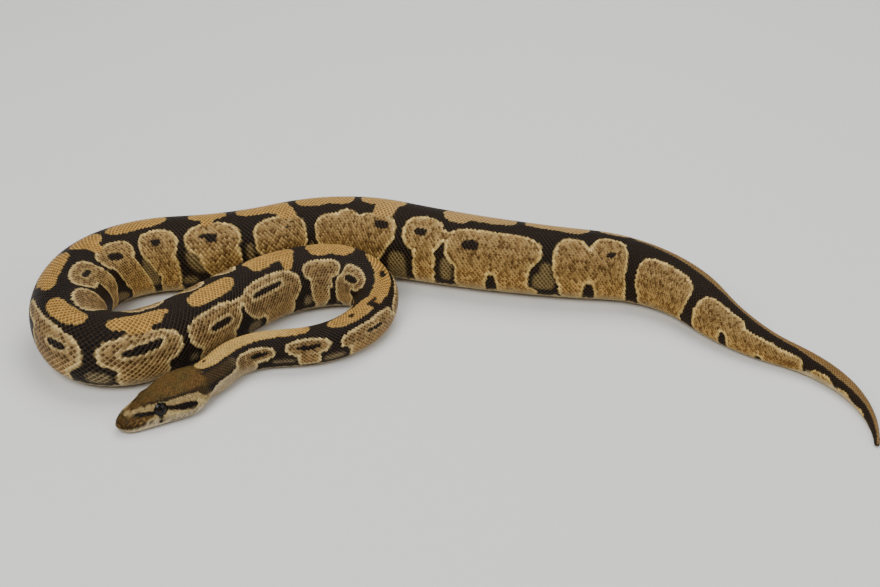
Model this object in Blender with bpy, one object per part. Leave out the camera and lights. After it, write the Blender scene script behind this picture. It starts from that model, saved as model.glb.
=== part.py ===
# A ball python lying in an open coil, at life size: head, lower jaw, eyes, neck,
# nine lengths of trunk and the tail. Lengths are in millimetres and angles in degrees.
import math

import bmesh
import bpy
import numpy as np
from mathutils import Matrix, Vector

MM = 0.001

# Where the snout lies on the floor, and which way the body runs from it.
SNOUT_AT = (-144.7, -97.0)
SNOUT_HEADING = 42.0

# The lie of the body from the snout to the tail tip:
# stretch, its length, its turn to the left, and the body's radius at its end.
LIE = (
    ("head", 46, 0, 8.5),
    ("nape", 13, 25, 8.8),
    ("neck curve", 27, -58, 8.9),
    ("neck run", 13, -5, 9.1),
    ("right bend opening", 62, 88, 10.7),
    ("right bend", 28, 89, 15.9),
    ("middle bend", 43, 43, 16.3),
    ("middle run", 42, 9, 16.7),
    ("middle end", 33, -24, 17.2),
    ("left bend entry", 34, -84, 17.8),
    ("left bend", 49, -51, 18.8),
    ("left bend exit", 31, -43, 19.1),
    ("back run start", 27, -27, 19.2),
    ("back run hollow", 54, 21, 19.4),
    ("back run crest", 58, -45, 20.0),
    ("back run end", 68, 8, 18.6),
    ("rear run", 47, 6, 17.5),
    ("rear bend", 60, -56, 12.6),
    ("tail base", 50, 30, 6.4),
    ("tail run", 39, -35, 4.2),
    ("tail hook", 39, -38, 1.0),
)
BEND_EASE = 9.0     # a bend starts and stops turning over this far each way
GIRTH_EASE = 12.0   # the girth changes over this far each way
PATH_STEP = 1.0     # spacing of the points that the path is summed over

# The cross-section, in radii: wider than high, and flat where it lies on the floor.
WIDTH = 1.03
WIDEST = 0.90
HEIGHT = 1.87
BELLY_DEPTH = 0.96      # the belly curve would reach this far down without the floor
CROWN_POWER = (2.5, 2.0)   # squareness of the upper half, at the snout and on the body
BELLY_POWER = (3.4, 2.6)   # squareness of the lower half, at the snout and on the body

# The head: place, distance from the snout, half width, height of the crown,
# and height of the widest line, which is the line of the lips further forward.
NAPE_RADIUS = LIE[0][3]
HEAD = (
    ("snout", 0.0, 5.0, 6.9, 3.1),
    ("nostril", 5.0, 6.2, 8.4, 3.3),
    ("muzzle", 12.0, 8.4, 10.5, 3.6),
    ("eye", 20.5, 10.8, 12.9, 4.0),
    ("temple", 27.0, 13.0, 14.1, 4.6),
    ("jaw angle", 34.0, 14.4, 14.9, 5.4),
    ("jaw end", 40.0, 12.7, 15.5, 6.4),
    ("nape", LIE[0][1], WIDTH * NAPE_RADIUS, HEIGHT * NAPE_RADIUS, WIDEST * NAPE_RADIUS),
)
HEAD_EASE = 2.5
HEAD_LENGTH = HEAD[-1][1]
SNOUT_ROUND = 8.0       # length over which the snout rounds off
SNOUT_TIP_HEIGHT = 4.0  # height of its foremost point
SNOUT_POWER = 2.3       # above 2 the snout is blunter than an ellipse

# The mouth: the line of the lips as (distance from the snout, height), and its back edge.
MOUTH_LINE = ((-2.0, 2.5), (8.0, 2.8), (22.0, 3.6), (33.0, 4.8))
JAW_BACK = (35.5, -2.0)
JAW_BLOCK_WIDTH = 40.0

EYE_RADIUS = 3.2
EYE_AT = (19.8, 7.6, 8.0)   # from the snout, from the middle and above the floor

GAP = 0.3           # clear gap between neighbouring solids
FACET_LENGTH = 6.0  # facets along the body
BODY_SIDES = 22
HEAD_SIDES = 30
HEAD_RINGS = 27
SNOUT_CROWDING = 1.35   # above 1 the head's rings crowd towards the snout

# Where the body is divided, from the snout.
LENGTHS = (
    ("neck", 46, 99),
    ("trunk_1", 99, 150),
    ("trunk_2", 150, 190),
    ("trunk_3", 190, 274),
    ("trunk_4", 274, 350),
    ("trunk_5", 350, 421),
    ("trunk_6", 421, 530),
    ("trunk_7", 530, 628),
    ("trunk_8", 628, 710),
    ("trunk_9", 710, 785),
    ("tail", 785, sum(row[1] for row in LIE)),
)

# Colour and roughness of each kind of skin, and of the eyes.
FINISHES = {
    "head": ((0.150, 0.100, 0.045), 0.45),
    "lower_jaw": ((0.520, 0.440, 0.330), 0.45),
    "eye": ((0.012, 0.010, 0.009), 0.06),
    "neck": ((0.250, 0.160, 0.070), 0.42),
    "trunk": ((0.190, 0.125, 0.062), 0.42),
    "tail": ((0.120, 0.085, 0.045), 0.42),
}


def eased_step(distance):
    # Goes from 0 to 1 around zero, over the length in which a bend starts.
    x = np.clip(distance / BEND_EASE, -1.0, 1.0)
    return 0.5 + x / 2 + np.sin(math.pi * x) / (2 * math.pi)


def lay_path():
    # Sums the turns of the lie into points and headings, one for each step.
    ends = np.cumsum([row[1] for row in LIE])
    steps = int(round(ends[-1] / PATH_STEP))
    middles = (np.arange(steps) + 0.5) * PATH_STEP
    turn = np.zeros(steps)
    for (_, length, degrees, _), end in zip(LIE, ends):
        share = eased_step(middles - (end - length)) - eased_step(middles - end)
        turn += math.radians(degrees) / length * share * PATH_STEP
    heading = math.radians(SNOUT_HEADING) + np.concatenate(([0.0], np.cumsum(turn)))
    between = (heading[1:] + heading[:-1]) / 2
    x = SNOUT_AT[0] + np.concatenate(([0.0], np.cumsum(np.cos(between) * PATH_STEP)))
    y = SNOUT_AT[1] + np.concatenate(([0.0], np.cumsum(np.sin(between) * PATH_STEP)))
    return np.arange(steps + 1) * PATH_STEP, x, y, heading


PATH = lay_path()


def frame_at(along):
    # The point on the floor under the spine, and the direction to its left.
    s, x, y, heading = PATH
    angle = float(np.interp(along, s, heading))
    point = Vector((float(np.interp(along, s, x)), float(np.interp(along, s, y)), 0.0))
    return point, Vector((-math.sin(angle), math.cos(angle), 0.0))


def smooth_value(along, places, values, ease):
    # A value between named places, averaged over a short length so that it has no kinks.
    spots = along + ease * np.linspace(-1.0, 1.0, 9)
    mirrored = np.where(spots > places[-1], 2 * places[-1] - spots, spots)
    weights = np.array([1, 2, 3, 4, 5, 4, 3, 2, 1]) / 25.0
    return float(np.dot(weights, np.interp(mirrored, places, values)))


def body_radius(along):
    places = np.cumsum([row[1] for row in LIE])
    return smooth_value(along, places, [row[3] for row in LIE], GIRTH_EASE)


def section_at(along):
    # Half width, height of the widest line, and height of the crown.
    if along >= HEAD_LENGTH:
        radius = body_radius(along)
        return WIDTH * radius, WIDEST * radius, HEIGHT * radius
    places = [row[1] for row in HEAD]
    half_width = smooth_value(along, places, [row[2] for row in HEAD], HEAD_EASE)
    crown = smooth_value(along, places, [row[3] for row in HEAD], HEAD_EASE)
    widest = smooth_value(along, places, [row[4] for row in HEAD], HEAD_EASE)
    return half_width, widest, crown


def signed_power(value, power):
    return math.copysign(abs(value) ** power, value)


def skin_point(along, angle):
    # A point on the body's surface; the angle starts at the middle of the back.
    half_width, widest, crown = section_at(along)
    up, side = math.cos(angle), math.sin(angle)
    snout_power, body_power = CROWN_POWER if up > 0 else BELLY_POWER
    power = body_power + (snout_power - body_power) * max(1 - along / HEAD_LENGTH, 0.0)
    across = half_width * signed_power(side, 2 / power)
    reach = crown - widest if up > 0 else widest * BELLY_DEPTH / WIDEST
    height = max(widest + reach * signed_power(up, 2 / power), 0.0)
    if along < SNOUT_ROUND:
        left = 1 - along / SNOUT_ROUND
        size = max(1 - left ** SNOUT_POWER, 0.0) ** (1 / SNOUT_POWER)
        across *= size
        height = SNOUT_TIP_HEIGHT + (height - SNOUT_TIP_HEIGHT) * size
    point, leftward = frame_at(along)
    return point + leftward * across + Vector((0.0, 0.0, height))


def new_object(name, mesh_builder, finish):
    colour, roughness = FINISHES[finish]
    material = bpy.data.materials.new(name + "_finish")
    material.use_nodes = True
    shader = material.node_tree.nodes["Principled BSDF"]
    shader.inputs["Base Color"].default_value = (*colour, 1.0)
    shader.inputs["Roughness"].default_value = roughness
    shader.inputs["Metallic"].default_value = 0.0
    mesh = bpy.data.meshes.new(name)
    mesh_builder.to_mesh(mesh)
    mesh_builder.free()
    mesh.materials.append(material)
    for face in mesh.polygons:
        face.use_smooth = True
    body = bpy.data.objects.new(name, mesh)
    bpy.context.scene.collection.objects.link(body)
    return body


def wrapped_length(start, end, rings, sides, crowding=1.0):
    # A flat sheet rolled round one length of the body, welded along the belly and closed.
    built = bmesh.new()
    bmesh.ops.create_grid(built, x_segments=rings, y_segments=sides, size=1.0)
    for vert in built.verts:
        along = start + (end - start) * ((vert.co.x + 1) / 2) ** crowding
        vert.co = skin_point(along, math.pi * vert.co.y) * MM
    bmesh.ops.remove_doubles(built, verts=built.verts, dist=0.01 * MM)
    open_edges = [edge for edge in built.edges if edge.is_boundary]
    bmesh.ops.holes_fill(built, edges=open_edges, sides=0)
    bmesh.ops.triangulate(built, faces=built.faces)
    bmesh.ops.recalc_face_normals(built, faces=built.faces)
    return built


def ball(radius, centre):
    built = bmesh.new()
    bmesh.ops.create_uvsphere(built, u_segments=16, v_segments=10, radius=radius * MM)
    bmesh.ops.translate(built, verts=built.verts, vec=centre * MM)
    return built


def jaw_block(growth):
    # Everything below the line of the lips and in front of the jaw's back edge.
    outline = [(along, height + growth) for along, height in MOUTH_LINE]
    outline[-1] = (MOUTH_LINE[-1][0] + growth, outline[-1][1])
    outline.append((JAW_BACK[0] + growth, JAW_BACK[1]))
    outline.append((MOUTH_LINE[0][0], JAW_BACK[1]))
    built = bmesh.new()
    start, leftward = frame_at(0.0)
    forward = Vector((leftward.y, -leftward.x, 0.0))
    side = start - leftward * (JAW_BLOCK_WIDTH / 2)
    corners = [built.verts.new((side + forward * a + Vector((0, 0, h))) * MM) for a, h in outline]
    face = built.faces.new(corners)
    grown = bmesh.ops.extrude_face_region(built, geom=[face])
    moved = [item for item in grown["geom"] if isinstance(item, bmesh.types.BMVert)]
    bmesh.ops.translate(built, verts=moved, vec=leftward * JAW_BLOCK_WIDTH * MM)
    bmesh.ops.recalc_face_normals(built, faces=built.faces)
    return built


def cut(body, cutter_mesh, operation):
    cutter = new_object("cutter", cutter_mesh, "head")
    boolean = body.modifiers.new("cut", "BOOLEAN")
    boolean.object = cutter
    boolean.operation = operation
    boolean.solver = "EXACT"
    evaluated = body.evaluated_get(bpy.context.evaluated_depsgraph_get())
    body.data = bpy.data.meshes.new_from_object(evaluated)
    body.modifiers.remove(boolean)
    bpy.data.objects.remove(cutter)


def eye_centre(side):
    along, across, height = EYE_AT
    point, leftward = frame_at(along)
    return point + leftward * (across * side) + Vector((0.0, 0.0, height))


def build_head():
    head = new_object("head", head_shell(), "head")
    cut(head, jaw_block(GAP), "DIFFERENCE")
    for side in (1, -1):
        cut(head, ball(EYE_RADIUS + GAP, eye_centre(side)), "DIFFERENCE")
    jaw = new_object("lower_jaw", head_shell(), "lower_jaw")
    cut(jaw, jaw_block(0.0), "INTERSECT")
    # The path runs from the snout backwards, so the animal's own left is on its right.
    new_object("eye_left", ball(EYE_RADIUS, eye_centre(-1)), "eye")
    new_object("eye_right", ball(EYE_RADIUS, eye_centre(1)), "eye")


def head_shell():
    return wrapped_length(0.0, HEAD_LENGTH - GAP / 2, HEAD_RINGS, HEAD_SIDES, SNOUT_CROWDING)


def build_body():
    tip = LENGTHS[-1][2]
    for name, start, end in LENGTHS:
        rings = max(int(round((end - start) / FACET_LENGTH)), 3)
        last = end if end == tip else end - GAP / 2
        built = wrapped_length(start + GAP / 2, last, rings, BODY_SIDES)
        new_object(name, built, name.split("_")[0])


def centre_on_floor():
    # Puts the middle of the whole model's box over the origin.
    bodies = list(bpy.context.scene.objects)
    points = [vert.co for body in bodies for vert in body.data.vertices]
    middle_x = (min(p.x for p in points) + max(p.x for p in points)) / 2
    middle_y = (min(p.y for p in points) + max(p.y for p in points)) / 2
    for body in bodies:
        body.data.transform(Matrix.Translation((-middle_x, -middle_y, 0.0)))
    print("moved by", round(-middle_x / MM, 3), round(-middle_y / MM, 3), "mm")


def main():
    for old in list(bpy.data.objects):
        bpy.data.objects.remove(old)
    build_head()
    build_body()
    centre_on_floor()


main()
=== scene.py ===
import math

import bmesh
import bpy
import numpy as np
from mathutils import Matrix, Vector
from mathutils.bvhtree import BVHTree


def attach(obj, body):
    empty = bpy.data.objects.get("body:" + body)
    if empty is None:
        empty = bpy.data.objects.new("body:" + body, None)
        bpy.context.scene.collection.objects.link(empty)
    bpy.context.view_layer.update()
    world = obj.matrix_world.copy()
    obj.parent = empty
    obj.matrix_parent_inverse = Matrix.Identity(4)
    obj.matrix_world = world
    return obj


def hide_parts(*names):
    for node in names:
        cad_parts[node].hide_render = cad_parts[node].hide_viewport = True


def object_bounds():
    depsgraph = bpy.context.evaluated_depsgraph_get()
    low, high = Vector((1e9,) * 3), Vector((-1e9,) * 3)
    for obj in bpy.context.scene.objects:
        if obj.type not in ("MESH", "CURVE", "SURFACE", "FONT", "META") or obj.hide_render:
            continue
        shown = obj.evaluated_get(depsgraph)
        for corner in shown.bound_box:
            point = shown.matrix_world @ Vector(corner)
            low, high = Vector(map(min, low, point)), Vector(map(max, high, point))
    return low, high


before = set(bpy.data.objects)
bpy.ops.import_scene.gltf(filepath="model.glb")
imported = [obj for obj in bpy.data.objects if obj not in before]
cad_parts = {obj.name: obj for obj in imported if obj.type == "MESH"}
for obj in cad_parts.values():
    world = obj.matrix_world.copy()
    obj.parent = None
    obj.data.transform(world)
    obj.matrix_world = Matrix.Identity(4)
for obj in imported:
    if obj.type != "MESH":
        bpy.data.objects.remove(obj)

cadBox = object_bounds()
mm = 0.001
chance = np.random.default_rng(7)

# How the body lies and how thick it is: millimetres along it from the snout, degrees of turn, radius.
body = {
    "snoutAt": (-142.874, -82.329), "snoutHeading": 42.0, "step": 0.25,
    "bendEase": 9.0, "girthEase": 12.0, "headEase": 2.5,
    "width": 1.03, "widest": 0.90, "height": 1.87, "bellyDepth": 0.96,
    "crownPower": (2.5, 2.0), "bellyPower": (3.4, 2.6),  # on the head, then on the body
    "headLength": 46.0, "headJoin": (43.0, 48.0), "snoutRound": 8.0, "tipHeight": 4.0, "snoutPower": 2.3,
    "vent": 780.0, "tipRound": 2.2, "tipNarrow": 0.98,
}
bodyLie = (  # stretch, length, turn to the left, radius at its end
    ("head", 46, 0, 8.5),
    ("nape", 13, 25, 8.8),
    ("neck curve", 27, -58, 8.9),
    ("neck run", 13, -5, 9.1),
    ("right bend opening", 62, 88, 10.7),
    ("right bend", 28, 89, 15.9),
    ("middle bend", 43, 43, 16.3),
    ("middle run", 42, 9, 16.7),
    ("middle end", 33, -24, 17.2),
    ("left bend entry", 34, -84, 17.8),
    ("left bend", 49, -51, 18.8),
    ("left bend exit", 31, -43, 19.1),
    ("back run start", 27, -27, 19.2),
    ("back run hollow", 54, 21, 19.4),
    ("back run crest", 58, -45, 20.0),
    ("back run end", 68, 8, 18.6),
    ("rear run", 47, 6, 17.5),
    ("rear bend", 60, -56, 12.6),
    ("tail base", 50, 30, 6.4),
    ("tail run", 39, -35, 4.2),
    ("tail hook", 39, -38, 1.0),
)
headForm = (  # place, from the snout, half width, crown height, height of the widest line
    ("snout", 0.0, 5.0, 6.9, 3.1),
    ("nostril", 5.0, 6.2, 8.4, 3.3),
    ("muzzle", 12.0, 8.4, 10.5, 3.6),
    ("eye", 20.5, 10.8, 12.9, 4.0),
    ("temple", 27.0, 13.0, 14.1, 4.6),
    ("jaw angle", 34.0, 14.4, 14.9, 5.4),
    ("jaw end", 40.0, 12.7, 15.5, 6.4),
    ("nape", 46.0, 8.755, 15.895, 7.65),
)
mouthLine = ((-2.0, 2.5), (8.0, 2.8), (22.0, 3.6), (33.0, 4.8), (46.0, 6.0))  # along, height above the floor
bodyLength = float(sum(row[1] for row in bodyLie))


def softStep(value, low, high):  # 0 at low and 1 at high, eased
    share = np.clip((value - low) / (high - low), 0.0, 1.0)
    return share * share * (3 - 2 * share)


def tableAt(along, table, column=1):  # reads a value between the rows of a table
    return np.interp(along, [row[0] for row in table], [row[column] for row in table])


def easedStep(distance):
    x = np.clip(distance / body["bendEase"], -1.0, 1.0)
    return 0.5 + x / 2 + np.sin(math.pi * x) / (2 * math.pi)


def layPath():
    ends = np.cumsum([row[1] for row in bodyLie])
    steps = int(bodyLength)
    middles = np.arange(steps) + 0.5
    turn = np.zeros(steps)
    for (_, length, degrees, _), end in zip(bodyLie, ends):
        share = easedStep(middles - (end - length)) - easedStep(middles - end)
        turn += math.radians(degrees) / length * share
    heading = math.radians(body["snoutHeading"]) + np.concatenate(([0.0], np.cumsum(turn)))
    between = (heading[1:] + heading[:-1]) / 2
    x = body["snoutAt"][0] + np.concatenate(([0.0], np.cumsum(np.cos(between))))
    y = body["snoutAt"][1] + np.concatenate(([0.0], np.cumsum(np.sin(between))))
    return {"at": np.arange(steps + 1.0), "x": x, "y": y, "heading": heading}


def smoothValue(along, places, values, ease):
    spots = np.asarray(along)[..., None] + ease * np.linspace(-1.0, 1.0, 9)
    spots = np.where(spots > places[-1], 2 * places[-1] - spots, spots)
    weights = np.array([1, 2, 3, 4, 5, 4, 3, 2, 1]) / 25.0
    return (np.interp(spots, places, values) * weights).sum(-1)


def layGirth():
    at = np.arange(0.0, bodyLength + body["step"], body["step"])
    radius = smoothValue(at, np.cumsum([row[1] for row in bodyLie]), [row[3] for row in bodyLie],
                         body["girthEase"])
    places = [row[1] for row in headForm]
    join = softStep(at, *body["headJoin"])  # head and neck flow into each other
    girth = {"at": at, "radius": radius}
    for key, column, share in (("halfWidth", 2, "width"), ("crown", 3, "height"), ("widest", 4, "widest")):
        headValue = smoothValue(at, places, [row[column] for row in headForm], body["headEase"])
        girth[key] = headValue * (1 - join) + body[share] * radius * join
    return girth


path = layPath()
girth = layGirth()


def girthAt(along, key):
    return np.interp(along, girth["at"], girth[key])


def signedPower(value, power):
    return np.sign(value) * np.abs(value) ** power


def sectionPoint(along, angle):  # across to the left, and height above the floor
    along, angle = np.broadcast_arrays(np.asarray(along, float), np.asarray(angle, float))
    up, side = np.cos(angle), np.sin(angle)
    widest = girthAt(along, "widest")
    share = np.clip(1 - along / body["headLength"], 0.0, 1.0)
    crownPower, bellyPower = (body[key][1] + (body[key][0] - body[key][1]) * share
                              for key in ("crownPower", "bellyPower"))
    power = np.where(up > 0, crownPower, bellyPower)
    across = girthAt(along, "halfWidth") * signedPower(side, 2 / power)
    reach = np.where(up > 0, girthAt(along, "crown") - widest, widest * body["bellyDepth"] / body["widest"])
    height = np.maximum(widest + reach * signedPower(up, 2 / power), 0.0)
    left = np.clip(1 - along / body["snoutRound"], 0.0, 1.0)
    size = np.maximum(1 - left ** body["snoutPower"], 0.0) ** (1 / body["snoutPower"])
    across, height = across * size, body["tipHeight"] + (height - body["tipHeight"]) * size
    past = np.clip(1 - (bodyLength - along) / body["tipRound"], 0.0, 1.0)  # the tail ends in a round tip
    narrow = np.sqrt(1 - body["tipNarrow"] * past ** 2)
    return across * narrow, widest + (height - widest) * narrow


def surface(along, angle):  # a point on the outside of the coat, in millimetres
    across, height = sectionPoint(along, angle)
    heading = np.interp(along, path["at"], path["heading"])
    x = np.interp(along, path["at"], path["x"]) - np.sin(heading) * across
    y = np.interp(along, path["at"], path["y"]) + np.cos(heading) * across
    return np.stack([x, y, height], -1)


def outward(along, angle):  # the way out of the surface
    step, turn = 0.15, 0.01
    lengthwise = surface(along + step, angle) - surface(np.maximum(along - step, 0.0), angle)
    sideways = surface(along, angle + turn) - surface(along, angle - turn)
    normal = np.cross(lengthwise, sideways)
    return normal / np.maximum(np.linalg.norm(normal, axis=-1, keepdims=True), 1e-9)


arcSteps = 120


def layArcs():  # how far round the section each angle is
    at = np.arange(0.0, bodyLength + 1.0, 1.0)
    angles = np.linspace(0.0, math.pi, arcSteps + 1)
    across, height = sectionPoint(at[:, None], angles[None, :])
    hops = np.hypot(np.diff(across, axis=1), np.diff(height, axis=1))
    arcs = np.concatenate((np.zeros((len(at), 1)), np.cumsum(hops, axis=1)), axis=1)
    arcs[0] = arcs[1] * 0.4  # the snout's very tip has no girth of its own
    shares = np.linspace(0.0, 1.0, arcSteps + 1)
    turned = np.array([np.interp(shares, row / max(row[-1], 1e-6), angles) for row in arcs])
    return {"at": at, "arcs": arcs, "half": arcs[:, -1], "turned": turned}


arcTable = layArcs()


def angleAt(along, roundBy):  # the angle that lies so many millimetres round from the spine
    half = np.interp(along, arcTable["at"], arcTable["half"])
    share = np.clip(np.abs(roundBy) / half, 0.0, 1.0) * arcSteps
    row = np.clip(along, 0.0, bodyLength)
    low, column = np.floor(row).astype(int), np.minimum(np.floor(share).astype(int), arcSteps - 1)
    high = np.minimum(low + 1, int(bodyLength))
    table, rowShare, columnShare = arcTable["turned"], row - low, share - column
    near = table[low, column] * (1 - columnShare) + table[low, column + 1] * columnShare
    far = table[high, column] * (1 - columnShare) + table[high, column + 1] * columnShare
    return np.sign(roundBy) * (near * (1 - rowShare) + far * rowShare)


def arcAt(along, degrees):  # millimetres round from the spine to an angle
    share = abs(degrees) / 180.0 * arcSteps
    column = int(share)
    arcs = arcTable["arcs"]
    row = arcs[:, column] * (1 - share + column) + arcs[:, min(column + 1, arcSteps)] * (share - column)
    return np.interp(along, arcTable["at"], row)


print("body laid out:", bodyLength, "mm along its bends")

# Each marking runs from and to along the body in mm and from and to round it in degrees. Then come its lean
# in mm for each degree, its drift in degrees for each mm, and its squareness.
backShapes = (
    (44, 90, -26, 38, 0, 0, 3), (68, 106.5, -19, 38, 0, 0, 3.2),                      # neck
    (115.2, 147, -27, 24, 0, 0, 2.6), (138, 178.5, -39, 3, 0, -0.5, 2.8),             # right bend
    (183, 195.5, -30, 18.5, 0, 0, 2.6), (192, 206, -30, 19.5, 0, 0, 2.6),
    (213, 239.8, -27, 13, 0, 0, 2.8), (229, 240, -2, 19, 0, 0, 2.4), (215.5, 222.5, -2, 38, 0.12),
    (252.8, 281.5, -4, 30, 0.1, 0, 2.8),                                              # middle run
    (296, 319.2, 1, 30.5, 0, 0, 2.8), (292.3, 306, 3, 18), (303, 312.3, 20, 45),
    (328.2, 351.8, 3, 34, 0, 0.5, 2.8),
    (360.5, 380, 10, 37), (366, 390.3, 7, 52, 0, -0.1, 2.8),                          # left bend
    (393, 409, -9, 28, 0, 0, 2.8), (394.8, 402.8, -28, 0, 0, 0, 3),
    (412.2, 443, -11, 26, 0, 0.25, 2.8),
    (454, 474, -3, 27, 0, 0, 2.8), (460.8, 466.6, -24, 4, 0, 0, 3),                   # back run
    (479.5, 504, -7, 27, 0, 0, 2.8), (494, 507.5, -13, 28), (499.5, 508.8, -32, 4, 0, 0, 3),
    (511.8, 530.5, -9, 28), (528, 541.6, -8, 28),
    (545, 568.6, -4, 28, 0, 0, 2.8), (554.5, 566, -32, 6, 0, 0, 3.2),
    (590.6, 629, -4, 29, 0, 0, 3.4), (592, 606, -13.5, 20),
    (633.6, 667, 2, 31, 0, 0, 3.2), (652.5, 665, -2.5, 24),
    (672.5, 686.5, 12, 34),
)
flankShapes = (
    (46, 64, -142, -79), (38, 62, -150, -93), (60.5, 89, -96, -46.5, 0, 0, 2.5),      # left of the neck
    (58, 77, -140, -74),
    (94.3, 113.5, -89, -35, 0, 0, 2.2), (99.8, 109.2, -121, -78, 0, 0, 3),
    (117.8, 147.8, -98, -44.5), (121.5, 152, -142, -76, 0, 0, 3), (149.5, 180, -120, -57, -0.08, 0, 2.4),
    (153, 177, -142, -90, 0, 0, 3),
    (158.8, 184, 23.5, 76, 0.06), (169, 191.5, 55, 120), (163, 184, 88, 142, 0.12),   # right of the loop
    (188, 212.5, 29.5, 67, 0.05, 0, 2.8), (194, 209, 48, 112, 0, 0, 2.6), (198.5, 206, 88, 142, 0, 0, 3),
    (216, 256.5, 33, 102, 0, 0, 2.5), (222, 243, 78, 142, 0, 0, 3), (250, 266, 48, 62),
    (259.3, 289.7, 41, 99, 0, 0, 2.8), (264.5, 285.5, 84, 142, 0, 0, 3),              # right of the middle
    (292.8, 321.6, 38.5, 98, 0, 0, 2.3), (303, 313, 32, 50), (299.5, 316.5, 80, 142, 0, 0, 3),
    (325.5, 350, 43, 103, 0, 0, 2.5), (336, 364, 46, 68, 0, 0.5, 2.4), (330, 349, 82, 142, 0, 0, 3),
    (240.5, 256.5, -142, -10), (260.5, 279, -142, -9),                                # its left
    (285.5, 315, -142, -9, 0, 0, 3), (328, 358.6, -80, -4, -0.05, 0, 2.6), (337, 361, -142, -50),
    (360.8, 385.4, -54, -6, -0.05), (374.5, 390.2, -98, -28, -0.14), (384, 394, -142, -88, -0.1),
    (390.3, 420, -62, -21, -0.05), (400, 422.8, -106, -42, -0.22), (412, 430.5, -142, -84, -0.08, 0, 3),
    (424.3, 449, -74, -19.5, 0, 0, 2.4), (429.5, 447, -96, -44, -0.12), (436.5, 450, -142, -64, 0, 0, 3),
    (452.6, 478.6, -70, -12.5, 0, 0, 2.3), (459.5, 478, -104, -42, -0.06), (466, 476.5, -142, -84, 0, 0, 3),
    (485, 513, -86, -20.5, 0, 0, 3), (488, 511.5, -142, -64, 0, 0, 3.4),              # back run
    (519, 556, -86, -28.5, 0, 0, 3.4), (533, 545, -52, -20.5), (545, 569.7, -74, -24, 0, 0, 2.6),
    (522, 557, -142, -62, 0, 0, 3), (541, 566, -116, -46, 0.22),
    (573.8, 594.6, -74, -13.5, 0, 0, 2.3), (580.6, 591.6, -142, -46, 0, 0, 3), (588, 602, -51, -34),
    (596.3, 632, -90, -23, 0, 0, 3), (614, 644.6, -80, -23, 0, 0, 2.3), (602, 638.5, -142, -64, 0, 0, 3.2),
    (620, 643, -142, -108, 0, 0, 3),
    (650.3, 668.3, -104, -17, 0, 0, 2.5), (667.8, 690, -108, -6.5, 0, 0, 2.6),
    (654, 691, -142, -62, 0, 0, 3.6),
    (657, 681, -100, -36, 0, 0, 3), (606, 640, -96, -34, 0, 0, 3),
    (697.3, 734.8, -106, -18.5, 0, 0, 3.4), (699.5, 731.5, -142, -70, 0, 0, 3.6),     # rear bend
    (740.2, 766.5, -142, -13.5, 0, 0, 4), (755, 784, -142, -37.5, 0, 0, 5), (774, 796.8, -142, -46, 0, 0, 5),
    (801.8, 815.5, -142, -65, 0, 0, 3), (819.5, 829, -142, -75, 0, 0, 3), (834, 842, -142, -79, 0, 0, 2.6),
)
notchShapes = (
    (617.2, 623.2, -150, -93), (665.2, 671.6, -150, -93), (754.8, 759.2, -150, -82),
    (772.8, 776.4, -150, -106), (168, 172.5, 92, 150, 0.22), (191.8, 195.4, 84, 150, -0.05),
)
eyeShapes = (
    (72.6, 84.8, -79.5, -64.5, 0, 0.2), (99, 109.6, -70, -55), (129.8, 139.4, -79, -66, 0, -0.6),
    (161, 170, -95, -83), (166, 180, 46.5, 64, 0, 0.6), (229, 249.6, 51, 62.5, 0, 0.2, 3),
    (266.4, 279.6, 66.5, 80, 0, 0, 3), (300.4, 314.8, 56, 71.5, 0, 0.75), (330.6, 338.3, 60.5, 73),
    (370, 378.7, -36, -25.5, 0, -0.5), (398.8, 410.8, -52, -38.5, 0, -0.5), (432.3, 438.8, -47.5, -35.5),
    (458.8, 468, -41, -33), (462.5, 467.6, -48.5, -36), (500.5, 504, -43, -39.5),
    (503.8, 506.9, -36.5, -33), (557.3, 565.9, -48.5, -34.5), (579.8, 586.3, -48.5, -35.5),
    (604.2, 613.2, -59, -42), (676.5, 682.6, -45, -35, 0, 0.6), (126.9, 130.2, -10, 4),
    (139.8, 147.6, -14.5, -4, 0, -0.8), (140.4, 144.4, -34, -10), (163.5, 167.6, -30, -12, -0.08),
    (48.7, 51.3, 8, 21, 0.07), (291, 298, -60, -48),
)
smudgeShapes = (
    (87, 99, -108, -92), (110, 119.5, -118, -92), (40, 62, -74, -30, 0, 0, 3), (208.5, 215, 92, 114),
    (246, 256, 98, 126), (317.5, 325.5, 94, 122), (188, 191.5, 96, 124), (424.5, 434.5, -110, -62, -0.12),
    (392, 409, -120, -99, 0, -0.8), (453, 463, -94, -56, -0.1), (450.5, 458, -114, -96),
    (480, 484.5, -86, -56), (567, 577.4, -130, -78), (594.2, 600.9, -115, -75), (640.4, 652, -112, -82),
    (643.8, 650.2, -98, -64), (514, 517.5, -100, -70), (286.5, 291, 96, 112),
)
spineLine = (  # along, degrees from the crown to the middle of the back's markings
    (0, 0), (46, 6), (100, 8), (125, 0), (150, -16), (172, -26), (184, -8), (240, -3), (262, 13),
    (345, 16), (362, 26), (380, 28), (395, 8), (690, 9), (715, 28), (745, 42), (768, 30), (800, 10),
    (863, 8),
)
tailStripe = (  # along, then its middle and half height in degrees
    (687, 26, 0), (691, 28, 13), (705, 31, 18), (722, 32, 21), (732, 36, 22), (745, 46, 23), (752, 44, 23),
    (765, 40, 26), (776, 28, 22), (790, 21, 26), (800, 12, 34), (817, 6, 38), (830, 12, 33), (840, 19, 28),
    (850, 23, 26), (863, 25, 25),
)
hiddenFlanks = (  # side, from, to: lengths whose flank has the ordinary markings of its kind
    (1, 50, 156), (-1, 182, 238), (1, 366, 800),
)
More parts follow.
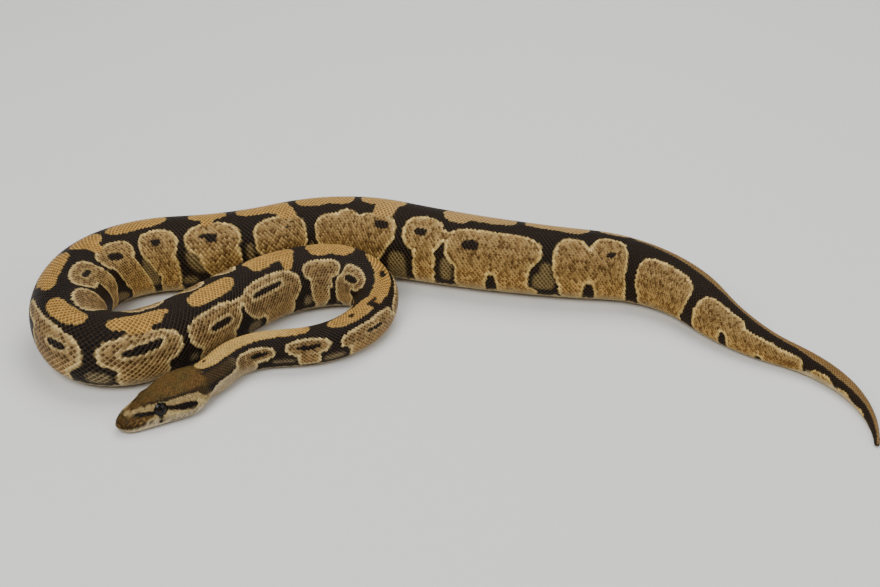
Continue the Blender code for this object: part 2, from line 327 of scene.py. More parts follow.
ordinaryFlank = {
    "length": (20, 31), "gap": (6.5, 9.5), "shortest": 14, "top": (25, 33), "lobeTo": 88,
    "lean": (-0.04, 0.04), "waist": (1.5, 4.5), "footFrom": 62, "footTo": 142, "smudge": (88, 118),
    "eyeEvery": 0.75, "eyeMiddle": (0.42, 0.58), "eyeBelow": (14, 22), "eyeHigh": 14, "eyeLong": 0.2,
}
plainShape = (0, 0, 2.6)  # lean, drift and squareness where a shape gives none


def fullShape(shape):
    return tuple(shape) + plainShape[len(shape) - 4:]


def signedShape(shape, side):  # the same shape on either side of the body
    start, end, low, high, lean, drift, square = fullShape(shape)
    if side < 0:
        low, high, lean, drift = -high, -low, -lean, -drift
    return start, end, low, high, lean, drift, square


def hiddenFlankShapes():
    marks, eyes, smudges, plan = [], [], [], ordinaryFlank
    for side, start, end in hiddenFlanks:
        along = start
        while along < end - plan["shortest"]:
            length = min(chance.uniform(*plan["length"]), end - along)
            gap = chance.uniform(*plan["gap"])
            top = float(tableAt(along + length / 2, spineLine)) * side + chance.uniform(*plan["top"])
            waist = chance.uniform(*plan["waist"])
            lobe = (along, along + length, top, plan["lobeTo"], chance.uniform(*plan["lean"]), 0, 2.5)
            foot = (along + waist, along + length - waist, plan["footFrom"], plan["footTo"], 0, 0, 3.2)
            marks += [signedShape(lobe, side), signedShape(foot, side)]
            if chance.uniform() < plan["eyeEvery"]:
                middle = along + length * chance.uniform(*plan["eyeMiddle"])
                high = top + chance.uniform(*plan["eyeBelow"])
                half = length * plan["eyeLong"]
                eyes.append(signedShape((middle - half, middle + half, high, high + plan["eyeHigh"]), side))
            smudges.append(signedShape((along + length, along + length + gap, *plan["smudge"]), side))
            along += length + gap
    return tuple(marks), tuple(eyes), tuple(smudges)


moreFlanks, moreEyes, moreSmudges = hiddenFlankShapes()
marking = {  # widths and depths in mm, bands in degrees round the body
    "rim": 1.3, "backRim": 1.0, "edge": 0.3, "core": (1.6, 4.4), "smudge": (-0.6, 1.8), "flow": 0.55,
    "eyeFlow": 0.4, "reach": 14.0, "depths": (-25, 12), "roundness": 1.05, "headRadius": 8.5,
    "gold": (78, 102), "pale": (108, 134), "belly": (124, 136), "low": (40, 80), "backWins": 0.6,
    "raggedness": 0.35, "follow": 0.6, "looseNet": (0.08, 0.4), "evenLuck": (0.50, 0.70),
    "headEnd": (43.0, 44.6), "stripeFrom": 676,
}
stretches = {  # where along the body each change in the markings begins and ends
    "nape": (56, 64), "throat": (58, 110), "neckBack": (90, 106), "smallMarks": (118, 124),
    "neck": (150, 190), "front": (340, 430), "evenLuck": (380, 450), "looseNet": (380, 470),
    "rear": (440, 520), "warmBack": (470, 640), "tailStripe": (684, 700),
}
tailBelly = ((786, 0), (800, 36), (832, 38), (846, 24), (854, 0))  # the pale belly shows higher on the tail
headTurn = ((0, 10), (8, 10), (20, 4), (34, 0))  # the head's markings sit a little to its far side
headStripes = {  # each line: along, degrees from the middle of the head, share of the half width in mm
    "cream": {"halfWide": 1.0, "edge": (-0.25, 0.25), "line": (
        (5.4, 12, 1.3), (7.8, 21, 1.4), (9.8, 30, 1.4), (11.8, 37.5, 1.4), (13.9, 43, 1.35), (16.1, 46, 1.4),
        (21.5, 52, 1.25), (27, 54, 1.2), (32, 56, 1.4), (35.8, 64, 1.7), (38.2, 84, 1.8), (41.5, 99, 2.1),
        (45.5, 109, 2.4))},
    "dark": {"halfWide": 1.0, "edge": (-0.3, 0.3), "line": (
        (4.6, 31, 0.8), (8.5, 46, 1.2), (12.5, 58, 1.3), (16.2, 66, 1.4), (20.5, 62.5, 1.0), (24, 68, 1.1),
        (28, 72.5, 1.55), (32, 76.5, 1.7), (33.4, 78, 1.4))},
    "line": {"halfWide": 1.0, "edge": (-0.8, 0.5), "line": (
        (12.5, 20, 0.55), (17, 31, 0.7), (20, 35, 0.8), (22.6, 40, 0.8), (26.3, 43, 0.75), (31, 45, 0.8),
        (36, 48, 1.0), (39.5, 60, 1.8), (42.5, 77, 2.4), (46, 88, 3.0))},
    "bar": {"halfWide": 0.95, "edge": (-0.25, 0.25), "line": ((17.6, 66, 1.0), (17.5, 96, 1.3))},
    "gold": {"halfWide": 1.9, "edge": (-0.8, 0.8), "line": ((3, 62, 1.0), (7, 76, 1.2), (12, 84, 0.9))},
}
lipEdge = ((0, 104), (5, 101), (9, 99), (12, 79), (16, 72), (21, 67), (34, 70), (36, 66), (38, 80), (41, 93),
           (44, 102), (47, 104))
headTone = {"lineFade": (34, 42), "lipEdge": (-2, 4), "jaw": (86, 96), "tip": (7, 25), "deep": 0.55,
            "pale": 0.85}


def degreeSize(radius):  # millimetres round the body for each degree
    return math.radians(marking["roundness"]) * radius


def shapeDepth(along, degrees, shapes, flow=marking["flow"]):  # millimetres inside the nearest shape
    perDegree = degreeSize(girthAt(along, "radius"))
    total = np.zeros(np.shape(along))
    first, last = np.min(along) - marking["reach"], np.max(along) + marking["reach"]
    near = [fullShape(shape) for shape in shapes if shape[1] > first and shape[0] < last]
    for start, end, low, high, lean, drift, square in near:
        halfLong, halfHigh = (end - start) / 2, (high - low) / 2
        offAlong, offRound = along - (start + end) / 2, degrees - (low + high) / 2
        x = np.abs(offAlong - lean * offRound) / halfLong
        y = np.abs(offRound - drift * offAlong) / halfHigh
        rim = (x ** square + y ** square) ** (1 / square) + 1e-6
        slope = np.hypot((x / rim) ** (square - 1) / halfLong,
                         (y / rim) ** (square - 1) / (halfHigh * perDegree))
        total += np.exp(np.clip((1 - rim) / slope, *marking["depths"]) / flow)
    return flow * np.log(np.maximum(total, 1e-12))


def lineDepth(along, degrees, points, halfWide):  # millimetres inside a band along a bent line
    perDegree = degreeSize(marking["headRadius"])
    best = np.full(np.shape(along), -30.0)
    for (fromAlong, fromRound, fromWide), (toAlong, toRound, toWide) in zip(points[:-1], points[1:]):
        long, high = toAlong - fromAlong, (toRound - fromRound) * perDegree
        x, y = along - fromAlong, (degrees - fromRound) * perDegree
        share = np.clip((x * long + y * high) / (long * long + high * high), 0, 1)
        wide = halfWide * (fromWide + (toWide - fromWide) * share)
        best = np.maximum(best, wide - np.hypot(x - long * share, y - high * share))
    return best


def past(along, name):  # 0 before a stretch of the body and 1 after it
    return softStep(along, *stretches[name])


def headMarks(along, degrees):
    turned = np.abs(degrees - tableAt(along, headTurn))
    part = {key: softStep(lineDepth(along, turned, stripe["line"], stripe["halfWide"]), *stripe["edge"])
            for key, stripe in headStripes.items()}
    cream, dark = part["cream"], np.maximum(part["dark"], part["bar"])
    line = part["line"] * (0.85 - 0.3 * softStep(along, *headTone["lineFade"]))
    lips = softStep(turned - tableAt(along, lipEdge), *headTone["lipEdge"])
    jaw = softStep(turned, *headTone["jaw"])
    gold = part["gold"] * (1 - lips)
    crown = (1 - lips) * (1 - np.clip(dark + line, 0, 1)) * (1 - cream)
    tip = 1 - softStep(along, *headTone["tip"])
    light = 1 - dark
    return {"flank": gold * light * (1 - cream), "back": (cream * 0.2 + gold * (1 - cream) * 0.15) * light,
            "rim": np.maximum(cream, lips * (1 - jaw)) * light * headTone["pale"],
            "smudge": np.zeros_like(crown), "pale": lips * jaw * light * (1 - cream * 0.5), "crown": crown,
            "shade": 1 - headTone["deep"] * cream * (1 - lips) * light - headTone["deep"] * crown * tip,
            "gold": 0.5 * np.maximum(gold, crown)}


def backDepth(along, degrees, ragged):  # the back's shapes, with the stripe that runs on over the tail
    back = shapeDepth(along, degrees, backShapes) + ragged
    half = tableAt(along, tailStripe, 2)
    off = np.abs(degrees - tableAt(along, tailStripe))
    stripe = (half - off) * degreeSize(girthAt(along, "radius")) + ragged * 0.5
    return np.where(along > marking["stripeFrom"], np.maximum(back, np.where(half > 1, stripe, -9)), back)


def bodyMarks(along, degrees, ragged):
    edge, turned = marking["edge"], np.abs(degrees)
    nape, throat, neckBack, small, neck, front = (1 - past(along, name) for name in (
        "nape", "throat", "neckBack", "smallMarks", "neck", "front"))
    flank = shapeDepth(along, degrees, flankShapes + moreFlanks) + ragged
    flank = np.minimum(flank, -shapeDepth(along, degrees, notchShapes))
    back = backDepth(along, degrees, ragged)
    eyes = shapeDepth(along, degrees, eyeShapes + moreEyes, marking["eyeFlow"]) + ragged * 0.6
    smudge = softStep(shapeDepth(along, degrees, smudgeShapes + moreSmudges), *marking["smudge"])
    either = np.maximum(flank, back)
    inside = softStep(either, -edge, edge) * (1 - softStep(eyes, -edge, edge))
    isBack = (back > flank - marking["backWins"]) & (back > -edge)
    ring = softStep(eyes, -1.7 + 0.5 * neck, -0.9 + 0.3 * neck) * (~isBack)  # lighter round each dark spot
    rim = np.where(isBack, 0.35 * softStep(marking["backRim"] - either, 0.0, 0.7),
                   softStep(marking["rim"] - either, 0.0, 0.5))
    # the flanks are darkest inside on the front half, and the small markings of the neck darken sooner
    core = softStep(flank * (1 + small), *marking["core"]) * (1 - ring * (1 - small)) * (~isBack)
    gold = softStep(turned + ragged * 10, *marking["gold"]) * inside
    pale = softStep(turned + ragged * 8 + throat * 26 + 18 * nape, *marking["pale"]) * inside * 0.8
    belly = softStep(turned + ragged * 12 + tableAt(along, tailBelly), *marking["belly"])
    bright = 0.5 * isBack * neckBack
    rim = np.maximum(rim, ring * (0.55 - 0.3 * neck) * (1 - small) * front + bright) * inside * (1 - belly)
    shade = 1 - core * (0.08 + 0.22 * past(along, "rear") + 0.50 * front * (1 - 0.4 * gold))
    shade = shade - 0.85 * past(along, "tailStripe") * isBack
    lowWarm = (0.35 + 0.35 * softStep(turned, *marking["low"])) * (1 - front) * (1 - 0.7 * belly)
    warm = np.where(isBack, 1 - past(along, "warmBack"), 0.2 + lowWarm) * (1 - throat * (~isBack))
    return {"flank": inside * (~isBack), "back": np.maximum(inside * isBack, gold * 0.7), "rim": rim,
            "smudge": smudge * (1 - inside) * (1 - nape), "pale": np.maximum(pale, belly),
            "crown": smudge * (1 - inside) * nape * 0.38, "shade": shade, "gold": warm}


def marksAt(along, angle, ragged=0.0):
    degrees = np.degrees(np.arctan2(np.sin(angle), np.cos(angle)))
    onBody, onHead = bodyMarks(along, degrees, ragged), headMarks(along, degrees)
    share = softStep(along + ragged * 2, *marking["headEnd"])
    return {key: onHead[key] * (1 - share) + onBody[key] * share for key in onBody}


def storeMarks(mesh, marks, luck, edge, hollow):
    size = len(mesh.vertices)
    for name, channels in (("marks", (marks["flank"], marks["back"], marks["rim"])),
                           ("tones", (marks["smudge"], marks["pale"], marks["crown"], marks["gold"])),
                           ("grain", (luck, edge, hollow, marks["shade"]))):
        values = np.ones((size, 4))
        for column, channel in enumerate(channels):
            values[:, column] = channel
        mesh.attributes.new(name, "FLOAT_COLOR", "POINT").data.foreach_set("color", values.ravel())


print("markings laid:", len(flankShapes + moreFlanks), "on the flanks and", len(backShapes), "on the back")

# One pattern dresses skin and scales, from the markings that each point of a mesh carries.
skinTones = {  # linear colours: the middle of a scale, and the edge that makes the net
    # groundNet, the lighter net on the black ground, is partly the paler skin at the scales' edges and
    # partly a painted sheen
    "ground": (0.0042, 0.0028, 0.0018), "groundNet": (0.040, 0.026, 0.0175),
    "flank": (0.108, 0.058, 0.021), "flankNet": (0.41, 0.28, 0.125), "flankFleck": (0.32, 0.205, 0.08),
    "back": (0.205, 0.108, 0.031), "backNet": (0.64, 0.42, 0.165),
    "rim": (0.50, 0.36, 0.15), "rimNet": (0.80, 0.61, 0.285),
    "smudge": (0.082, 0.058, 0.028), "smudgeNet": (0.28, 0.215, 0.115),
    "pale": (0.52, 0.42, 0.26), "crown": (0.088, 0.048, 0.014), "crownNet": (0.15, 0.088, 0.028),
    "olive": (0.070, 0.050, 0.015), "deepTint": (0.42, 0.37, 0.32), "goldTint": (1.0, 0.90, 0.62),
}
grain = {  # fineness and detail of each noise; how far it moves a scale's luck, edge and colour
    "fleck": (1100.0, 3.0), "cloud": (150.0, 2.0), "fine": (2600.0, 2.0),
    "fleckLuck": 0.5, "cloudLuck": 0.2, "fleckEdge": 0.24, "fleckTone": 0.5, "cloudTone": 0.4,
    "net": (0.52, 0.84), "paler": (0.45, 0.95), "crownCloud": (0.35, 0.6), "crownNet": (0.5, 0.75),
    # pit: the near-black painted into the lip pits and the nostril, a painted shade inside these hollows
    "pit": (0.006, 0.004, 0.003), "rough": 0.34, "cloudRough": 0.16, "edgeRough": 0.10,
    "bump": 0.25, "bumpHeight": 0.0001, "shine": 0.09,
}


def feed(tree, socket, value):  # gives a socket a link, a colour or a number
    if hasattr(value, "is_linked"):
        tree.links.new(value, socket)
    elif isinstance(value, tuple):
        socket.default_value = (*value, 1.0)
    elif value is not None:
        socket.default_value = value


def mixColour(tree, factor, under, over, blend="MIX"):
    node = tree.nodes.new("ShaderNodeMix")
    node.data_type = "RGBA"
    node.blend_type = blend
    for number, value in ((0, factor), (6, under), (7, over)):
        feed(tree, node.inputs[number], value)
    return node.outputs[2]


def mathNode(tree, operation, first, second, third=None):
    node = tree.nodes.new("ShaderNodeMath")
    node.operation = operation
    for socket, value in zip(node.inputs, (first, second, third)):
        feed(tree, socket, value)
    return node.outputs[0]


def around(tree, value, size, middle=0.0):  # a noise moved to swing about a middle
    return mathNode(tree, "MULTIPLY_ADD", value, size, middle - size / 2)


def channelsOf(tree, name):
    attribute = tree.nodes.new("ShaderNodeAttribute")
    attribute.attribute_name = name
    split = tree.nodes.new("ShaderNodeSeparateColor")
    feed(tree, split.inputs[0], attribute.outputs["Color"])
    return (*split.outputs, attribute.outputs["Alpha"])


def rangeNode(tree, value, ends):  # 0 at the first end, 1 at the second, eased
    node = tree.nodes.new("ShaderNodeMapRange")
    node.interpolation_type = "SMOOTHSTEP"
    node.inputs["From Min"].default_value, node.inputs["From Max"].default_value = ends
    feed(tree, node.inputs["Value"], value)
    return node.outputs["Result"]


def noiseNode(tree, coordinates, fineness, detail):
    node = tree.nodes.new("ShaderNodeTexNoise")
    node.inputs["Scale"].default_value = fineness
    node.inputs["Detail"].default_value = detail
    feed(tree, node.inputs["Vector"], coordinates)
    return node.outputs["Fac"]


def buildPatternGroup():
    tree = bpy.data.node_groups.new("pythonMarkings", "ShaderNodeTree")
    for name, value in skinTones.items():
        socket = tree.interface.new_socket(name, in_out="INPUT", socket_type="NodeSocketColor")
        socket.default_value = (*value, 1.0)
    for name, value in (("depth", 1.0), ("netShare", 1.0), ("tuneShare", 0.5)):
        tree.interface.new_socket(name, in_out="INPUT", socket_type="NodeSocketFloat").default_value = value
    for name, kind in (("Colour", "Color"), ("Roughness", "Float"), ("Height", "Float")):
        tree.interface.new_socket(name, in_out="OUTPUT", socket_type="NodeSocket" + kind)
    ins, outs = tree.nodes.new("NodeGroupInput").outputs, tree.nodes.new("NodeGroupOutput").inputs
    flank, back, rim, _ = channelsOf(tree, "marks")
    smudge, pale, crown, gold = channelsOf(tree, "tones")
    scaleLuck, edge, pit, shade = channelsOf(tree, "grain")
    coordinates = tree.nodes.new("ShaderNodeTexCoord").outputs["Object"]
    fleck, cloud, fine = (noiseNode(tree, coordinates, *grain[key]) for key in ("fleck", "cloud", "fine"))
    luck = mathNode(tree, "ADD", scaleLuck, around(tree, fleck, grain["fleckLuck"]))
    luck = mathNode(tree, "ADD", luck, around(tree, cloud, grain["cloudLuck"]))
    net = rangeNode(tree, mathNode(tree, "ADD", edge, around(tree, fleck, grain["fleckEdge"])), grain["net"])
    net = mathNode(tree, "MULTIPLY", net, ins["netShare"])
    crownTone = mixColour(tree, rangeNode(tree, cloud, grain["crownCloud"]), ins["olive"], ins["crown"])
    crownTone = mixColour(tree, rangeNode(tree, fine, grain["crownNet"]), crownTone, ins["crownNet"])
    flankTone = mixColour(tree, rangeNode(tree, luck, grain["paler"]), ins["flank"], ins["flankFleck"])
    cell = {"ground": ins["ground"], "crown": crownTone, "smudge": ins["smudge"], "flank": flankTone,
            "back": ins["back"], "rim": ins["rim"]}
    # on the black ground the lighter net colour is partly a painted sheen
    whole = {key: mixColour(tree, net, value, ins[key + "Net"]) for key, value in cell.items()}
    colour = whole["ground"]
    for share, over in ((crown, whole["crown"]), (smudge, whole["smudge"]), (flank, whole["flank"]),
                        (back, whole["back"]), (rim, whole["rim"]), (pale, ins["pale"])):
        colour = mixColour(tree, share, colour, over)
    half = mathNode(tree, "MULTIPLY_ADD", ins["tuneShare"], -0.5, 1.0)
    tone = mathNode(tree, "MULTIPLY_ADD", scaleLuck, ins["tuneShare"], half)  # each scale a little its own
    for value in (around(tree, cloud, grain["cloudTone"], 1.0), around(tree, fleck, grain["fleckTone"], 1.0),
                  ins["depth"]):
        tone = mathNode(tree, "MULTIPLY", tone, value)
    grey = tree.nodes.new("ShaderNodeCombineColor")
    for socket in grey.inputs:
        feed(tree, socket, tone)
    colour = mixColour(tree, 1.0, colour, grey.outputs[0], "MULTIPLY")
    plain = (1.0, 1.0, 1.0)
    for share, none, full in ((shade, ins["deepTint"], plain), (gold, plain, ins["goldTint"])):
        colour = mixColour(tree, 1.0, colour, mixColour(tree, share, none, full), "MULTIPLY")
    # the hollows of the lip pits and the nostril are painted near-black: painted shade inside them
    feed(tree, outs["Colour"], mixColour(tree, pit, colour, grain["pit"]))
    rough = mathNode(tree, "MULTIPLY_ADD", cloud, grain["cloudRough"], grain["rough"])
    feed(tree, outs["Roughness"], mathNode(tree, "MULTIPLY_ADD", edge, grain["edgeRough"], rough))
    feed(tree, outs["Height"], fleck)
    return tree


patternGroup = buildPatternGroup()


def newMaterial(name):
    material = bpy.data.materials.new(name)
    material.use_nodes = True
    return material, material.node_tree, material.node_tree.nodes["Principled BSDF"].inputs


def scaleMaterial(name, depth=1.0, netShare=1.0, tuneShare=0.3):
    material, tree, shader = newMaterial(name)
    pattern = tree.nodes.new("ShaderNodeGroup")
    pattern.node_tree = patternGroup
    for socket, value in (("depth", depth), ("netShare", netShare), ("tuneShare", tuneShare)):
        pattern.inputs[socket].default_value = value
    bump = tree.nodes.new("ShaderNodeBump")
    bump.inputs["Strength"].default_value = grain["bump"]
    bump.inputs["Distance"].default_value = grain["bumpHeight"]
    for socket, value in ((shader["Base Color"], pattern.outputs["Colour"]),
                          (shader["Roughness"], pattern.outputs["Roughness"]),
                          (bump.inputs["Height"], pattern.outputs["Height"]),
                          (shader["Normal"], bump.outputs["Normal"])):
        feed(tree, socket, value)
    shader["Specular IOR Level"].default_value = grain["shine"]
    return material


def addObject(name, data):
    thing = bpy.data.objects.new(name, data)
    bpy.context.scene.collection.objects.link(thing)
    return thing


def finishPiece(mesh, name, material, replaced=()):
    mesh.materials.clear()
    mesh.materials.append(material)
    mesh.polygons.foreach_set("use_smooth", np.ones(len(mesh.polygons), bool))
    mesh.update()
    piece = addObject(name, mesh)
    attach(piece, "root")
    if replaced:
        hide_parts(*replaced)
    print(name, "has", len(mesh.polygons), "faces")


def meshFrom(form, name):  # a finished bmesh made a mesh
    mesh = bpy.data.meshes.new(name)
    form.to_mesh(mesh)
    form.free()
    return mesh


def readPoints(mesh):
    coords = np.zeros(len(mesh.vertices) * 3)
    mesh.vertices.foreach_get("co", coords)
    return coords.reshape(-1, 3)


def setPoints(mesh, points):  # from millimetres
    mesh.vertices.foreach_set("co", (points * mm).ravel())


def layMap(mesh, u, v):  # the map that the finish is baked on
    corners = np.zeros(len(mesh.loops), int)
    mesh.loops.foreach_get("vertex_index", corners)
    flat = np.stack([u.ravel()[corners], v.ravel()[corners]], -1)
    mesh.uv_layers.new(name="OFBake").data.foreach_set("uv", flat.ravel())


def faceOutwards(mesh, merged=0.0):  # with double points joined first
    form = bmesh.new()
    form.from_mesh(mesh)
    if merged:
        bmesh.ops.remove_doubles(form, verts=form.verts, dist=merged)
    bmesh.ops.recalc_face_normals(form, faces=form.faces)
    form.to_mesh(mesh)
    form.free()


print("finishes mixed")

# The eyes are balls set into the head, of which the rings of scales leave a part to see.
eye = {
    "radius": 4.0, "at": (19.0, 6.2, 8.2), "shownRadius": 3.15, "tilt": 20.0, "forward": 12.0,
    "pupil": (0.55, 2.6), "pupilEdge": (-0.1, 0.15), "irisEdge": (2.4, 2.9), "fineness": 1500.0,
    "irisTones": ((0.004, 0.003, 0.002), (0.018, 0.012, 0.007)), "edgeTone": (0.004, 0.003, 0.003),
    "pupilTone": (0.002, 0.002, 0.002), "rough": 0.02, "shine": 0.2, "segments": 48, "rings": 32,
    "socketDepth": 2.1, "rimWide": 0.75, "ringHeight": 2.56,
    "roll": 13.0, "rollAbout": 5.0, "farDeeper": 0.6,  # the head rolls a little, so the far eye lies lower
}


def headDirection(along, across, height):  # from head directions to the model's
    heading = float(path["heading"][0])
    lengthwise = np.array([math.cos(heading), math.sin(heading), 0.0])
    leftward = np.array([-math.sin(heading), math.cos(heading), 0.0])
    return along * lengthwise + across * leftward + height * np.array([0.0, 0.0, 1.0])


def eyePlace(side):
    roll = math.radians(eye["roll"]) if side > 0 else 0.0
    across, height = eye["at"][1], eye["at"][2] - eye["rollAbout"]
    across, height = (across * math.cos(roll) + height * math.sin(roll),
                      height * math.cos(roll) - across * math.sin(roll) + eye["rollAbout"])
    centre = np.array([*body["snoutAt"], 0.0]) + headDirection(eye["at"][0], side * across, height)
    tilt, forward = math.radians(eye["tilt"]) - roll, math.radians(eye["forward"])
    axis = headDirection(-math.sin(forward) * math.cos(tilt), side * math.cos(forward) * math.cos(tilt),
                         math.sin(tilt))
    return centre - axis * (eye["farDeeper"] if side > 0 else 0.0), axis


def besideEye(points, side):  # how far out of the eye's middle, the way there from its axis, and the axis
    centre, axis = eyePlace(side)
    away = points - centre
    out = away @ axis
    return out, away - out[:, None] * axis, axis


def eyeMaterial():
    material, tree, shader = newMaterial("wetEye")
    pupil, ring, _, _ = channelsOf(tree, "eyeMarks")
    speckle = noiseNode(tree, tree.nodes.new("ShaderNodeTexCoord").outputs["Object"], eye["fineness"], 2.0)
    iris = mixColour(tree, ring, mixColour(tree, speckle, *eye["irisTones"]), eye["edgeTone"])
    feed(tree, shader["Base Color"], mixColour(tree, pupil, iris, eye["pupilTone"]))
    feed(tree, shader["Roughness"], mathNode(tree, "MULTIPLY_ADD", speckle, eye["rough"], eye["rough"]))
    shader["Specular IOR Level"].default_value = eye["shine"]
    return material


def buildEyes():
    finish = eyeMaterial()
    lengthwise = headDirection(1, 0, 0)
    for name, node, side in (("eyeLeft", "eye_left", -1), ("eyeRight", "eye_right", 1)):
        centre, axis = eyePlace(side)
        ball = bmesh.new()
        bmesh.ops.create_uvsphere(ball, u_segments=eye["segments"], v_segments=eye["rings"],
                                  radius=eye["radius"] * mm)
        turn = Vector(axis).to_track_quat("Z", "Y").to_matrix()
        bmesh.ops.rotate(ball, verts=ball.verts, cent=(0, 0, 0), matrix=turn)
        bmesh.ops.translate(ball, verts=ball.verts, vec=Vector(centre) * mm)
        mesh = meshFrom(ball, name)
        out, flat, axis = besideEye(readPoints(mesh) / mm, side)
        wide, high = flat @ lengthwise, flat @ np.cross(axis, lengthwise)
        slit = 1 - np.hypot(wide / eye["pupil"][0], high / eye["pupil"][1])
        values = np.ones((len(out), 4))
        values[:, 0] = softStep(slit, *eye["pupilEdge"]) * (out > 0)
        values[:, 1] = softStep(np.linalg.norm(flat, axis=1), *eye["irisEdge"])
        mesh.attributes.new("eyeMarks", "FLOAT_COLOR", "POINT").data.foreach_set("color", values.ravel())
        finishPiece(mesh, name, finish, (node,))


# One skin lies under the scales and takes the place of the head, jaw, neck, trunk and tail.
skin = {
    "headRings": 130, "bodyRings": 560, "sides": 90, "noseShare": 0.12, "headTo": 48.0,
    "depth": 0.42, "headDepth": 0.34, "deepens": (36, 56), "thinShare": 0.45, "clearOfFloor": 0.02,
    "merged": 0.002, "socketEase": (0.1, 0.3), "tone": 0.55, "netShare": 0.5,
}
fleshNodes = ("head", "lower_jaw", "neck", *(f"trunk_{number}" for number in range(1, 10)), "tail")


def insideBox(points):  # keeps a piece within the frame's box
    return np.clip(points, np.array(cadBox[0]) / mm, np.array(cadBox[1]) / mm)


def skinDepth(along):
    depth = skin["headDepth"] + (skin["depth"] - skin["headDepth"]) * softStep(along, *skin["deepens"])
    return np.minimum(depth, skin["thinShare"] * girthAt(along, "radius"))


def sinkEyes(points):  # the skin rolls in round each eye
    inner = eye["shownRadius"] + skin["socketEase"][0]
    outer = eye["shownRadius"] + eye["rimWide"] + skin["socketEase"][1]
    for side in (-1, 1):
        out, flat, axis = besideEye(points, side)
        wide = np.linalg.norm(flat, axis=1)
        near = (out > 0) & (out < 6) & (wide < outer)
        drop = np.minimum(eye["socketDepth"] - out, 0.0) * (1 - softStep(wide, inner, outer)) * near
        points = points + drop[:, None] * axis
    return points


def wrappedSheet(rings, sides, start, end, depth):  # a flat sheet rolled round the body
    sheet = bmesh.new()
    bmesh.ops.create_grid(sheet, x_segments=rings, y_segments=sides, size=1.0)
    bmesh.ops.recalc_face_normals(sheet, faces=sheet.faces)
    mesh = meshFrom(sheet, "sheet")
    flat = readPoints(mesh)
    along, angle = np.interp((flat[:, 0] + 1) / 2, start, end), math.pi * flat[:, 1]
    return mesh, along, angle, surface(along, angle) - outward(along, angle) * depth(along)[:, None]


def buildSkin():
    total = skin["headRings"] + skin["bodyRings"]
    split = skin["headRings"] / total
    mesh, along, angle, points = wrappedSheet(total, skin["sides"], (0, split * skin["noseShare"], split, 1),
                                              (0.0, 1.0, skin["headTo"], bodyLength), skinDepth)
    points = sinkEyes(points)
    points[:, 2] = np.maximum(points[:, 2], skin["clearOfFloor"])
    for end in (along < 1e-6, along > bodyLength - 1e-6):  # the snout and the tail's tip close on a point
        points[end] = points[end].mean(axis=0)
    size = len(along)
    storeMarks(mesh, marksAt(along, angle), np.full(size, 0.5), np.zeros(size), np.zeros(size))
    setPoints(mesh, points)
    faceOutwards(mesh, skin["merged"] * mm)
    finish = scaleMaterial("skinBetweenScales", skin["tone"], skin["netShare"], 0.0)
    finishPiece(mesh, "skin", finish, fleshNodes)


# A scale is a small domed shell, repeated and laid along the body in rows that interlock.
scale = {
    "sides": 10, "rings": (0.62,), "frontPower": 1.45, "rearPower": 1.5, "longShare": 0.60,
    "front": 0.06, "rear": 0.26, "dome": 0.085, "sunk": 0.08, "flankEdge": 137.0, "patch": 0.006, "rows": 60,
    "pitch": (1.35, 0.039), "rowPitch": (0.62, 0.043), "headFiner": (0.24, 0.16), "finer": (24, 50),
    "clearOfTips": (0.05, 0.02), "under": 0.005, "stretch": (0.35, 2.2), "leastStretch": 0.6,
    "mapMargin": 2.0, "edgePatch": 1.25,
}
coatLengths = (  # piece, from, to, slot
    ("neckScales", 44, 150, "neck_skin"), ("rightBendScales", 150, 250, "trunk_skin"),
    ("middleScales", 250, 368, "trunk_skin"), ("leftBendScales", 368, 480, "trunk_skin"),
    ("backScales", 480, 590, "trunk_skin"), ("rearScales", 590, 700, "trunk_skin"),
    ("rearBendScales", 700, 785, "trunk_skin"), ("tailScales", 785, 864, "tail_skin"),
)


def turnEdgeDown(form):
    rim = [edge for edge in form.edges if edge.is_boundary]
    turned = bmesh.ops.extrude_edge_only(form, edges=rim)
    low = [item for item in turned["geom"] if isinstance(item, bmesh.types.BMVert)]
    bmesh.ops.translate(form, verts=low, vec=(0, 0, -1))
    bmesh.ops.recalc_face_normals(form, faces=form.faces)
    if sum(face.normal.z for face in form.faces) < 0:
        bmesh.ops.reverse_faces(form, faces=form.faces)


def domedShell(sides, rings):  # one scale, flat and round, with an edge turned down
    shell = bmesh.new()
    bmesh.ops.create_circle(shell, cap_ends=True, segments=sides, radius=1.0)
    bmesh.ops.recalc_face_normals(shell, faces=shell.faces)
    for outer, inner in zip((1.0, *rings), rings):
        middle = max(shell.faces, key=lambda face: len(face.verts) * 100 - face.calc_center_median().length)
        bmesh.ops.inset_region(shell, faces=[middle], thickness=(outer - inner) * math.cos(math.pi / sides),
                               use_even_offset=True)
    bmesh.ops.poke(shell, faces=[max(shell.faces, key=lambda face: len(face.verts))])
    turnEdgeDown(shell)
    mesh = meshFrom(shell, "shell")
    local = readPoints(mesh)
    turn = np.arctan2(local[:, 1], local[:, 0])
    return mesh, np.hypot(local[:, 0], local[:, 1]), turn, local[:, 2] < -0.5


def squareTurn(reach, turn, power):  # a round shell made squarer, or pointed with a power under 2
    return reach * signedPower(np.cos(turn), 2 / power), reach * signedPower(np.sin(turn), 2 / power)


def repeated(mesh, count):  # an array of the one shell, one copy for each place
    carrier = addObject("carrier", mesh)
    array = carrier.modifiers.new("copies", "ARRAY")
    array.count = count
    array.use_relative_offset = False
    array.use_constant_offset = True
    array.constant_offset_displace = (0.0, 0.0, 0.0)
    carrier.update_tag()
    evaluated = carrier.evaluated_get(bpy.context.evaluated_depsgraph_get())
    copies = bpy.data.meshes.new_from_object(evaluated)
    bpy.data.objects.remove(carrier)
    return copies


